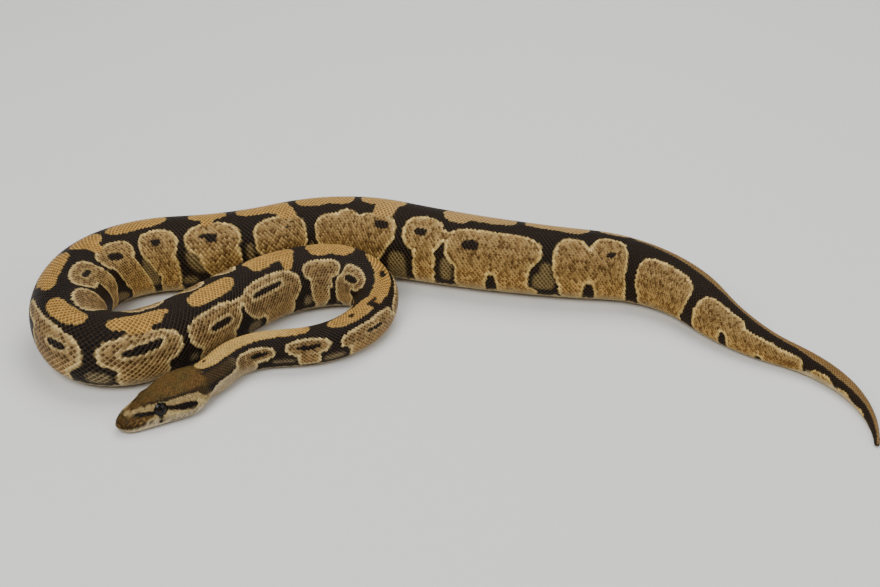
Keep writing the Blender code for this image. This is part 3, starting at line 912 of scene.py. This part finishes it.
def layRows():  # how far apart the scales lie along the body and round it
    at, radius, headward = girth["at"], girth["radius"], 1 - softStep(girth["at"], *scale["finer"])
    alongPitch, rowPitch = ((scale[key][0] + scale[key][1] * radius) * (1 - finer * headward)
                            for key, finer in zip(("pitch", "rowPitch"), scale["headFiner"]))
    count = np.concatenate(([0.0], np.cumsum(body["step"] / ((alongPitch[1:] + alongPitch[:-1]) / 2))))
    return {"at": at, "along": alongPitch, "row": rowPitch, "count": count}


pitch = layRows()


def pitchAt(along, key):
    return np.interp(along, pitch["at"], pitch[key])


def latticePlaces(start, end, edge):  # every scale's place, in rows that interlock
    rows = np.arange(-scale["rows"], scale["rows"] + 1)
    numbers = np.arange(0, int(pitch["count"][-1]) + 2)
    row, number = (grid.ravel() for grid in np.meshgrid(rows, numbers))
    along = np.interp(number + 0.5 * (row % 2), pitch["count"], pitch["at"], right=-1.0)
    roundBy = row * pitchAt(along, "row")
    keep = (along >= start) & (along < end) & (np.abs(roundBy) < edge(along))
    return along[keep], roundBy[keep]


def bendStretch(along, across):  # how much longer the outer side of a bend is than the spine
    turn = np.gradient(path["heading"])
    return np.clip(1 - np.interp(along, path["at"], turn) * across, *scale["stretch"])


def clearOfTips(along):
    return np.clip(along, scale["clearOfTips"][0], bodyLength - scale["clearOfTips"][1])


def underOutline(rise, along):  # a height over the skin, as one that stays just under the body's outline
    return np.minimum(rise - skinDepth(along), -scale["under"])


def layOn(mesh, along, angle, lift):  # sets a mesh's points over the body, above the floor and in the box
    points = surface(along, angle) + outward(along, angle) * lift[..., None]
    points[..., 2] = np.maximum(points[..., 2], 0.0)
    setPoints(mesh, insideBox(points.reshape(-1, 3)))


def layScales(name, along, roundBy, halfLong, halfWide, thick, material):
    template, reach, turn, low = domedShell(scale["sides"], scale["rings"])
    x, y = squareTurn(reach, turn, np.where(np.cos(turn) > 0, scale["rearPower"], scale["frontPower"]))
    mesh = repeated(template, len(along))
    spotAlong = clearOfTips(along[:, None] + halfLong[:, None] * x)
    spotRound = roundBy[:, None] + halfWide[:, None] * y
    rise = scale["front"] + (scale["rear"] - scale["front"]) * (x + 1) / 2
    rise = np.where(low, -scale["sunk"], rise + scale["dome"] * (1 - reach ** 2)) * thick[:, None]
    layOn(mesh, spotAlong, angleAt(spotAlong, spotRound), underOutline(rise, spotAlong))
    luck = chance.uniform(0, 1, len(along))
    ragged = chance.uniform(-1, 1, (len(along), 1)) * marking["raggedness"]
    follow = marking["follow"]  # how closely a marking's edge cuts across a scale
    markAlong = along[:, None] + (spotAlong - along[:, None]) * follow
    markRound = roundBy[:, None] + (spotRound - roundBy[:, None]) * follow
    marks = marksAt(markAlong, angleAt(markAlong, markRound), ragged)
    marks = {key: value.ravel() for key, value in marks.items()}
    least, more = marking["looseNet"]
    loose = (more * past(along, "looseNet") + least) * chance.uniform(-1, 1, len(along))
    edge = np.tile(np.where(low, 1.0, reach), len(along)) + np.repeat(loose, len(x)) * marks["flank"]
    middle, pull = marking["evenLuck"]
    luck = luck + (middle - pull * luck) * past(along, "evenLuck")  # a more even mix on the rear flanks
    storeMarks(mesh, marks, np.repeat(luck, len(x)), edge, np.zeros(len(along) * len(x)))
    # each scale's own patch of the map lies at its root on the unrolled skin
    margin = scale["mapMargin"]
    half, span = np.abs(roundBy).max() + margin, along.max() - along.min() + 2 * margin
    patch = scale["patch"] / 2 * np.where(low, scale["edgePatch"], 1.0)
    layMap(mesh, ((along - along.min() + margin) / span)[:, None] + patch * x,
           ((roundBy + half) / (2 * half))[:, None] + patch * y)
    finishPiece(mesh, name, material)


def buildCoat():
    finish = scaleMaterial("bodyScales")
    for name, start, end, slot in coatLengths:
        along, roundBy = latticePlaces(start, end, lambda place: arcAt(place, scale["flankEdge"]))
        across, _ = sectionPoint(along, angleAt(along, roundBy))
        stretch = np.sqrt(np.maximum(bendStretch(along, across), scale["leastStretch"]))
        halfLong = pitchAt(along, "along") * scale["longShare"] / stretch
        thick = np.minimum(1.0, skinDepth(along) / skin["depth"])
        layScales(name, along, roundBy, halfLong, pitchAt(along, "row"), thick, finish)


buildEyes()
buildSkin()
buildCoat()
print("eyes, skin and coat made")

# The belly has one row of wide plates, and the tail pairs of them.
belly = {
    "count": 196, "from": 46.0, "halfAngle": 46.0, "overlap": 0.66, "sides": (3, 14), "tailPairs": 30,
    "tailTip": 6.0, "front": 0.04, "rise": 0.30, "sunk": 0.10, "roundEnds": 0.25, "pairOverlap": 1.03,
    "columns": 8, "patch": 0.42, "edgePatch": (0.8, 0.9), "luck": (0.3, 0.7), "edgeTone": 0.5,
}


def bellyPlates(name, along, halfLong, middle, halfAngle, material):
    plate = bmesh.new()
    bmesh.ops.create_grid(plate, x_segments=belly["sides"][0], y_segments=belly["sides"][1], size=1.0)
    turnEdgeDown(plate)
    template = meshFrom(plate, "plate")
    local = readPoints(template)
    low = local[:, 2] < -0.5
    x, y = local[:, 0] * (1 - belly["roundEnds"] * np.abs(local[:, 1]) ** 3), local[:, 1]
    mesh = repeated(template, len(along))
    spotAlong = clearOfTips(along[:, None] + halfLong[:, None] * x)
    angle = middle[:, None] + halfAngle * y
    rise = np.where(low, -belly["sunk"], belly["front"] + belly["rise"] * (x + 1) / 2)
    rise = rise * np.minimum(1.0, skinDepth(along) / skin["depth"])[:, None]
    layOn(mesh, spotAlong, angle, rise - skinDepth(spotAlong))
    luck = np.repeat(chance.uniform(*belly["luck"], len(along)), len(x))
    storeMarks(mesh, marksAt(spotAlong.ravel(), angle.ravel()), luck,
               np.tile(np.abs(x), len(along)) * belly["edgeTone"], np.zeros(len(luck)))
    order, columns = np.arange(len(along))[:, None], belly["columns"]
    column, row = order % columns, order // columns
    long, wide = (belly["patch"] * np.where(low, 1.0, share) for share in belly["edgePatch"])
    layMap(mesh, (column + 0.5 + wide * y) / columns, (row + 0.5 + long * x) / (row.max() + 1))
    finishPiece(mesh, name, material)


def buildBelly():
    finish = scaleMaterial("bellyScales", netShare=0.3, tuneShare=0.2)
    wide, vent, tailEnd = math.radians(belly["halfAngle"]), body["vent"], bodyLength - belly["tailTip"]
    for name, start, end, count, sides, half, slot in (
            ("bellyPlates", belly["from"], vent, belly["count"], (0.0,), wide, "trunk_skin"),
            ("tailPlates", vent, tailEnd, belly["tailPairs"], (-wide / 2, wide / 2),
             wide / 2 * belly["pairOverlap"], "tail_skin")):
        along = np.repeat(start + (end - start) * ((np.arange(count) + 0.5) / count), len(sides))
        halfLong = np.full(len(along), (end - start) / count * belly["overlap"])
        bellyPlates(name, along, halfLong, math.pi + np.tile(sides, count), half, finish)


buildBelly()
print("belly made")

# The head has plates in front, small scales behind, lips with their pits and rings round the eyes.
headPlan = {
    "sides": 32, "rings": (0.93, 0.84, 0.72, 0.58, 0.42, 0.22), "grow": 1.07, "fuller": 0.7,
    "rise": 0.20, "dome": 0.13, "sunk": 0.10, "pit": (0.2, 0.4), "patch": 0.55,
    "lipsFrom": 1.7, "lipsTo": 33.5, "lipGap": 0.16, "lipOverlap": 1.02, "lipSquare": 3.2,
    "nostrilAt": (3.3, 4.1), "nostril": 0.75,
    "scalesFrom": 2.4, "scalesTo": 44, "tipTo": 8.2, "scatter": (0.10, 0.08), "scaleShares": (0.56, 0.98),
    "clearOfPlates": 0.15, "clearOfEyes": 1.15, "clearOfMouth": 0.9, "luck": (0.25, 0.75), "domePower": 2.5,
    "edgePatch": 1.12, "mapFrom": 2, "mapLong": 52, "mapHalf": 34, "mouthBetween": (0.35, 0.8),
    "roundness": 1.25, "formRings": 160, "formTo": 60.0,
}
lipRows = {  # plates on each side, first and last height, side of the mouth, which have pits, pit depth
    "upper": (10, (2.7, 2.2), -1, range(0, 4), 0.35), "lower": (13, (1.9, 1.7), 1, range(8, 13), 0.2),
}
crownPlates = (  # along, round, length, width, turn, squareness; each on both sides unless on the middle
    (2.3, 1.35, 2.5, 2.5, 0, 2.6), (3.3, 4.1, 3.2, 2.9, 0, 2.6), (6.3, 2.15, 4.6, 4.1, 0, 3.0),
    (6.4, 5.4, 3.2, 2.2, 12, 2.8), (10.7, 0.0, 3.4, 2.6, 0, 2.6), (10.8, 3.1, 3.8, 3.4, 8, 2.8),
    (15.0, 1.75, 4.4, 3.3, 0, 3.0), (14.4, 5.0, 3.0, 2.9, 14, 2.6), (18.6, 3.85, 5.0, 2.3, 2, 2.8),
    (19.0, 1.35, 3.4, 2.5, 0, 2.6), (8.3, 7.6, 3.4, 1.7, 8, 2.8),
)


def lipAngles(along):  # the angle of the mouth line on the head's side
    low, high = headPlan["mouthBetween"]
    angles = np.linspace(math.pi * low, math.pi * high, 200)
    heights = sectionPoint(along[:, None], angles[None, :])[1]
    return [np.interp(-mouth, -row, angles) for mouth, row in zip(tableAt(along, mouthLine), heights)]


lipTable = {"at": np.arange(0.5, body["headLength"], 0.5)}
lipTable["angle"] = lipAngles(lipTable["at"])


def lipRound(along):  # millimetres round from the crown to the mouth line
    return float(arcAt(along, math.degrees(np.interp(along, lipTable["at"], lipTable["angle"]))))


def layPlates(name, plates, material):
    template, reach, turn, low = domedShell(headPlan["sides"], headPlan["rings"])
    mesh = repeated(template, len(plates))
    along, roundBy, long, wide, spin, square, pit = np.array(plates, float).T[..., None]
    x, y = squareTurn(reach, turn, square + headPlan["fuller"])
    x, y, spin = x * long * headPlan["grow"] / 2, y * wide * headPlan["grow"] / 2, np.radians(spin)
    spotAlong = np.clip(along + x * np.cos(spin) - y * np.sin(spin), 0.05, bodyLength)
    spotRound = roundBy + x * np.sin(spin) + y * np.cos(spin)
    angle = angleAt(spotAlong, spotRound)
    # the same share that sinks the pits and the nostril also paints them near-black, a painted shade
    hollow = (1 - softStep(reach, *headPlan["pit"])) * (pit > 0)
    dome = headPlan["dome"] * (1 - reach ** headPlan["domePower"])
    rise = np.where(low, -headPlan["sunk"], headPlan["rise"] + dome)
    layOn(mesh, spotAlong, angle, underOutline(rise - hollow * pit, spotAlong))
    luck = np.repeat(chance.uniform(*headPlan["luck"], len(plates)), len(reach))
    storeMarks(mesh, marksAt(spotAlong.ravel(), angle.ravel()), luck,
               np.tile(np.where(low, 1.0, reach), len(plates)), hollow.ravel())
    patch, half = headPlan["patch"] * np.where(low, headPlan["edgePatch"], 1.0), headPlan["mapHalf"]
    layMap(mesh, (along + (spotAlong - along) * patch + headPlan["mapFrom"]) / headPlan["mapLong"],
           (roundBy + (spotRound - roundBy) * patch + half) / (2 * half))
    finishPiece(mesh, name, material)


def lipPlates(count, heights, side, pitted, pitDepth):
    plates, span = [], headPlan["lipsTo"] - headPlan["lipsFrom"]
    for number in range(count):
        along = headPlan["lipsFrom"] + span * (number + 0.5) / count
        high = heights[0] + (heights[1] - heights[0]) * number / count
        middle = lipRound(along) + side * (high / 2 + headPlan["lipGap"])
        long, pit = span / count * headPlan["lipOverlap"], pitDepth if number in pitted else 0.0
        plates += [(along, hand * middle, long, high, 0, headPlan["lipSquare"], pit) for hand in (-1, 1)]
    return plates


def mirroredPlates():
    plates = []
    for along, roundBy, long, wide, turn, square in crownPlates:
        pit = headPlan["nostril"] if (along, roundBy) == headPlan["nostrilAt"] else 0.0
        for hand in ((-1, 1) if roundBy > 0 else (1,)):
            plates.append((along, hand * roundBy, long, wide, hand * turn, square, pit))
    return plates


def placeOnHead(points):  # how far along the head, and how far round it in degrees
    away = points[:, :2] - np.array(body["snoutAt"])
    along, across = away @ headDirection(1, 0, 0)[:2], away @ headDirection(0, 1, 0)[:2]
    widest = girthAt(along, "widest")
    up = (points[:, 2] - widest) / np.where(points[:, 2] > widest, girthAt(along, "crown") - widest, widest)
    side, power = across / girthAt(along, "halfWidth"), headPlan["roundness"]
    return along, np.degrees(np.arctan2(signedPower(side, power), signedPower(up, power)))


def layPatches(mesh, count, x, y, low):  # a grid of patches, one for each copy
    order, reach, columns = np.arange(count)[:, None], np.where(low, 0.46, 0.40), min(8, count)
    layMap(mesh, (order % columns + 0.5 + reach * x) / columns,
           (order // columns + 0.5 + reach * y) / ((count - 1) // columns + 1))


eyeRing = {
    "scales": 11, "sides": 12, "rings": (0.6,), "square": 2.8, "overlap": 1.02, "middle": 0.62, "from": 9.0,
    "halfWide": 0.66, "blend": 1.1, "sunk": 0.16, "overBall": 0.17, "dome": 0.08, "edgeDown": 0.5,
    "luck": (0.2, 0.8),
}


def ringHeight(tree, centre, flat, axis, far):  # from the eye's rim out to the head, and never into the eye
    hit = tree.ray_cast(Vector((centre + flat + axis * eyeRing["from"]) * mm), Vector(-axis))[0]
    out = (np.array(hit) / mm - centre) @ axis if hit else 2.0
    share = min(max((far - eye["shownRadius"]) / eyeRing["blend"], 0.0), 1.0)
    ball = math.sqrt(max(eye["radius"] ** 2 - far ** 2, 0.0)) + eyeRing["overBall"]
    return max(eye["ringHeight"] * (1 - share) + (out - eyeRing["sunk"]) * share, ball)


def eyeRings(name, material, tree):
    template, reach, turn, low = domedShell(eyeRing["sides"], eyeRing["rings"])
    count, points = eyeRing["scales"], []
    mesh = repeated(template, count * 2)
    x, y = squareTurn(reach, turn, eyeRing["square"])
    distance = eye["shownRadius"] + eyeRing["middle"] + x * eyeRing["halfWide"]
    for side in (-1, 1):
        centre, axis = eyePlace(side)
        lengthwise = headDirection(1, 0, 0)
        lengthwise = lengthwise - axis * (lengthwise @ axis)
        lengthwise /= np.linalg.norm(lengthwise)
        upward = np.cross(axis, lengthwise)
        for number in range(count):
            spots = 2 * math.pi * (number + 0.5) / count + y * (math.pi / count * eyeRing["overlap"]) * side
            for spot, far, edge, drop in zip(spots, distance, reach, low):
                flat = lengthwise * (math.cos(spot) * far) + upward * (math.sin(spot) * far)
                height = ringHeight(tree, centre, flat, axis, far) + eyeRing["dome"] * (1 - edge ** 2)
                points.append(centre + flat + axis * (height - eyeRing["edgeDown"] * drop))
    points = np.array(points)
    setPoints(mesh, points)
    luck = np.repeat(chance.uniform(*eyeRing["luck"], count * 2), len(reach))
    storeMarks(mesh, headMarks(*placeOnHead(points)), luck, np.tile(np.where(low, 1.0, reach), count * 2),
               np.zeros(len(points)))
    layPatches(mesh, count * 2, x, y, low)
    finishPiece(mesh, name, material)


def headTree():  # the head's form, to lay pieces on from outside
    rings = headPlan["formRings"]
    mesh, _, _, points = wrappedSheet(rings, rings, (0, 1), (0.0, headPlan["formTo"]),
                                      lambda along: np.zeros(len(along)))
    setPoints(mesh, points)
    form = bmesh.new()
    form.from_mesh(mesh)
    tree = BVHTree.FromBMesh(form)
    form.free()
    return tree


frontPlates = {
    "square": 2.8, "from": -9.0, "tries": (0.0, 0.13, -0.13), "edgeDown": -0.42, "rise": -0.13, "dome": 0.09,
    "upper": {"heights": (2.75, 5.4), "halfWide": 2.4, "pale": 0.35, "paleTo": 1.3},
    "lower": {"heights": (0.6, 2.45), "halfWide": 2.0, "pale": 1.0, "paleTo": 0.0},
    "marks": {"flank": 0.25, "back": 0, "rim": 0, "smudge": 0, "crown": 1, "shade": 0.6, "gold": 0.5},
}


def frontPlate(name, tree, plate, material):  # the plate on the very front of a lip
    mesh, reach, turn, low = domedShell(headPlan["sides"], headPlan["rings"])
    x, y = squareTurn(reach, turn, frontPlates["square"])
    bottom, top = plate["heights"]
    across, height = x * plate["halfWide"], (bottom + top) / 2 + y * (top - bottom) / 2
    start, inwards, points = np.array([*body["snoutAt"], 0.0]), Vector(headDirection(1, 0, 0)), []
    for one, high, edge, drop in zip(across, height, reach, low):
        places = [start + headDirection(frontPlates["from"], one + shift, high + shift)
                  for shift in frontPlates["tries"]]
        tries = [tree.ray_cast(Vector(place * mm), inwards) for place in places]
        hit, normal, _, _ = min(tries, key=lambda found: found[3] if found[0] else 1.0)
        spot = np.array(hit) / mm if hit else start + headDirection(1.0, one, high)
        normal = np.array(normal) if hit else headDirection(-1, 0, 0)
        if normal @ headDirection(-1, 0, 0) < 0:
            normal = -normal
        rise = frontPlates["rise"] + frontPlates["dome"] * (1 - edge ** 2)
        points.append(spot + normal * (frontPlates["edgeDown"] if drop else rise))
    setPoints(mesh, np.array(points))
    size = len(points)
    marks = {key: np.full(size, value) for key, value in frontPlates["marks"].items()}
    pale = 1 - softStep(height, bottom, bottom + plate["paleTo"]) if plate["paleTo"] else np.ones(size)
    marks["pale"] = plate["pale"] * pale
    storeMarks(mesh, marks, np.full(size, 0.5), np.where(low, 1.0, reach), np.zeros(size))
    layPatches(mesh, 1, reach * np.cos(turn), reach * np.sin(turn), low)
    faceOutwards(mesh)
    finishPiece(mesh, name, material)


def headPlaces(plates):  # where the head's small scales go, clear of the plates, the eyes and the mouth
    along, roundBy = latticePlaces(headPlan["scalesFrom"], headPlan["scalesTo"],
                                   lambda place: np.interp(place, arcTable["at"], arcTable["half"]))
    keep = np.ones(len(along), bool)
    for plate in plates:
        x = (along - plate[0]) / (plate[2] / 2 + headPlan["clearOfPlates"])
        y = (roundBy - plate[1]) / (plate[3] / 2 + headPlan["clearOfPlates"])
        keep &= (np.abs(x) ** 3 + np.abs(y) ** 3) > 1
    spots = surface(along, angleAt(along, roundBy))
    for side in (-1, 1):
        out, flat, _ = besideEye(spots, side)
        clear = eye["shownRadius"] + headPlan["clearOfEyes"]
        keep &= ~((out > 0) & (np.linalg.norm(flat, axis=1) < clear))
    places = np.arange(1.0, body["headLength"], 1.0)
    lip = np.interp(along, places, [lipRound(place) for place in places])
    nearMouth = np.abs(np.abs(roundBy) - lip) < headPlan["clearOfMouth"]
    keep &= ~(nearMouth & (along < headPlan["lipsTo"] + 1.0))
    keep &= ~((along < headPlan["tipTo"]) & (np.abs(roundBy) < lip - 2))  # plates alone cover the snout
    return along[keep], roundBy[keep]


def buildHead():
    finish = scaleMaterial("headScales", netShare=0.35, tuneShare=0.5)
    jawFinish = scaleMaterial("jawScales", netShare=0.4, tuneShare=0.25)
    tree = headTree()
    upper, lower = lipPlates(*lipRows["upper"]), lipPlates(*lipRows["lower"])
    crown = mirroredPlates()
    layPlates("headPlates", crown, finish)
    layPlates("upperLipPlates", upper, finish)
    layPlates("lowerLipPlates", lower, jawFinish)
    eyeRings("eyeRingScales", finish, tree)
    frontPlate("frontPlate", tree, frontPlates["upper"], finish)
    frontPlate("chinPlate", tree, frontPlates["lower"], jawFinish)
    along, roundBy = headPlaces(crown + upper + lower)
    along, roundBy = (places + chance.uniform(-most, most, len(places))
                      for places, most in zip((along, roundBy), headPlan["scatter"]))
    longShare, wideShare = headPlan["scaleShares"]
    halfLong, halfWide = pitchAt(along, "along") * longShare, pitchAt(along, "row") * wideShare
    thick = skinDepth(along) / skin["depth"]
    layScales("headScales", along, roundBy, halfLong, halfWide, thick, finish)


buildHead()
print("head made")

# A plain pale floor, three soft lamps and the camera
studio = {"floor": (0.80, 0.79, 0.765), "floorSize": 4.0, "floorRough": 0.75, "world": (0.86, 0.90, 0.95),
          "worldStrength": 0.27, "lampsAim": (0, 0, 0.01)}
lamps = (  # name, place, size, watts
    ("keySoftbox", (-0.55, -0.60, 1.05), 0.8, 11.5),
    ("fillSoftbox", (0.85, -0.45, 0.75), 0.9, 4.8),
    ("topSoftbox", (0.10, 0.65, 1.15), 0.9, 11.5),
)
view = {"tilt": 31.0, "aimAt": (0.001826, 0.014671, 0.015), "distance": 0.73333, "lens": 60.0,
        "sensor": 36.0}


def buildStudio():
    plane = bmesh.new()
    bmesh.ops.create_grid(plane, x_segments=2, y_segments=2, size=studio["floorSize"])
    floor = addObject("floor", meshFrom(plane, "floor"))
    material, _, shader = newMaterial("paleFloor")
    shader["Base Color"].default_value = (*studio["floor"], 1.0)
    shader["Roughness"].default_value = studio["floorRough"]
    floor.data.materials.append(material)
    world = bpy.data.worlds.new("studio")
    world.use_nodes = True
    background = world.node_tree.nodes["Background"].inputs
    background["Color"].default_value = (*studio["world"], 1.0)
    background["Strength"].default_value = studio["worldStrength"]
    bpy.context.scene.world = world
    for name, place, size, watts in lamps:
        lamp = bpy.data.lights.new(name, "AREA")
        lamp.size, lamp.energy = size, watts
        holder = addObject(name, lamp)
        holder.location = place
        aim = Vector(studio["lampsAim"]) - Vector(place)
        holder.rotation_euler = aim.to_track_quat("-Z", "Y").to_euler()


def buildCamera():
    tilt = math.radians(view["tilt"])
    camera = bpy.data.cameras.new("camera")
    camera.lens, camera.sensor_width, camera.clip_start = view["lens"], view["sensor"], 0.01
    holder = addObject("camera", camera)
    away = Vector((0.0, -math.cos(tilt), math.sin(tilt))) * view["distance"]
    holder.location = Vector(view["aimAt"]) + away
    holder.rotation_euler = (math.pi / 2 - tilt, 0.0, 0.0)
    bpy.context.scene.camera = holder


buildStudio()
buildCamera()
print("floor, lights and camera set")
